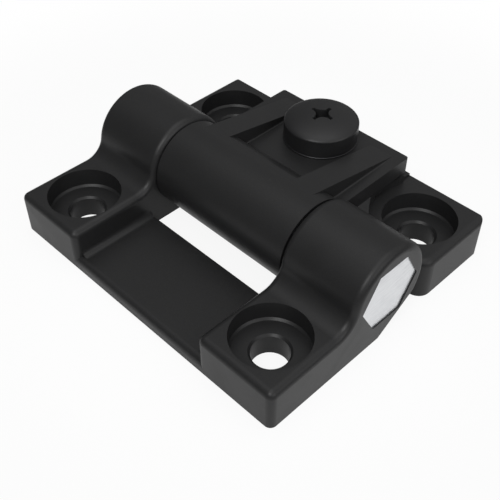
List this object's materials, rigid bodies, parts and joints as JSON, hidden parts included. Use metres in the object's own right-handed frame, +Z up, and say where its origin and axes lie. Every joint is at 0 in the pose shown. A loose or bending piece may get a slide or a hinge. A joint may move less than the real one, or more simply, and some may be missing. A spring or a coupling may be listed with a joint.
{
  "type": "torque hinge",
  "caption": "Flat torque hinge: a leaf with hexagon-pinned knuckles, and a leaf whose split barrel is squeezed by a domed cross-recess screw; counterbored mounting holes.",
  "frame": {"origin": "middle of the hinge's outline on the mounting plane, the hinge lying open and flat", "axes": "+X along the hinge axis, +Y from the leaf with the knuckles to the leaf with the adjusting screw, +Z up from the mounting plane"},
  "size_m": [0.0512, 0.0438, 0.0153],
  "materials": {
    "leaf_plastic": "satin black glass-filled nylon, fine moulded texture",
    "pin_metal": "bare drawn hexagon bar, sawn and tumbled end",
    "screw_metal": "satin black coated steel",
    "spring_metal": "oiled spring steel",
    "nut_metal": "zinc-plated steel"
  },
  "bodies": {
    "front": {"front_leaf": "leaf_plastic", "pin_right": "pin_metal", "pin_left": "pin_metal"},
    "rear": {"rear_leaf": "leaf_plastic", "clamp_nut": "nut_metal"},
    "spring": {"spring_washer": "spring_metal"},
    "screw": {"adjusting_screw": "screw_metal"}
  },
  "joints": [
    {"name": "leaf_fold", "type": "hinge", "parent": "front", "child": "rear", "pos_m": [0, -0.00017, 0.0078], "axis": [1, 0, 0], "range_deg": [-33, 165]},
    {"name": "washer_lift", "type": "slide", "parent": "rear", "child": "spring", "axis": [0, 0, 1], "range_m": [0, 0.00133]},
    {"name": "screw_turn", "type": "hinge", "parent": "spring", "child": "screw", "pos_m": [0, 0.01493, 0.0113], "axis": [0, 0, 1], "range_deg": [0, 480]}
  ],
  "couplings": [
    {"joint": "screw_turn", "follows": "washer_lift", "rad_per_m": 6283.2}
  ]
}
